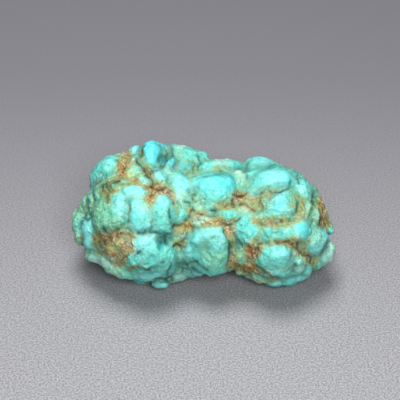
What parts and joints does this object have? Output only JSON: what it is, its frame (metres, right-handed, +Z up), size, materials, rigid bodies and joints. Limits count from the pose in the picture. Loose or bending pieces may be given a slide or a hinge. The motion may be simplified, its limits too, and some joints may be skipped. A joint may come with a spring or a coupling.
{
  "type": "raw turquoise nugget",
  "caption": "Rough natural turquoise stone, two knobbly lobes joined at a waist, with brown matrix in its creases, resting on small worn flats.",
  "frame": {"origin": "below the middle of the stone's box, on the plane it rests on", "axes": "+X along the stone's length, +Z up, the broad front face towards -Y"},
  "size_m": [0.042, 0.0266, 0.0197],
  "materials": {
    "turquoise": "waxy natural rind, rough brown matrix in the creases"
  },
  "bodies": {
    "root": {"turquoise_nugget": "turquoise"}
  },
  "joints": []
}
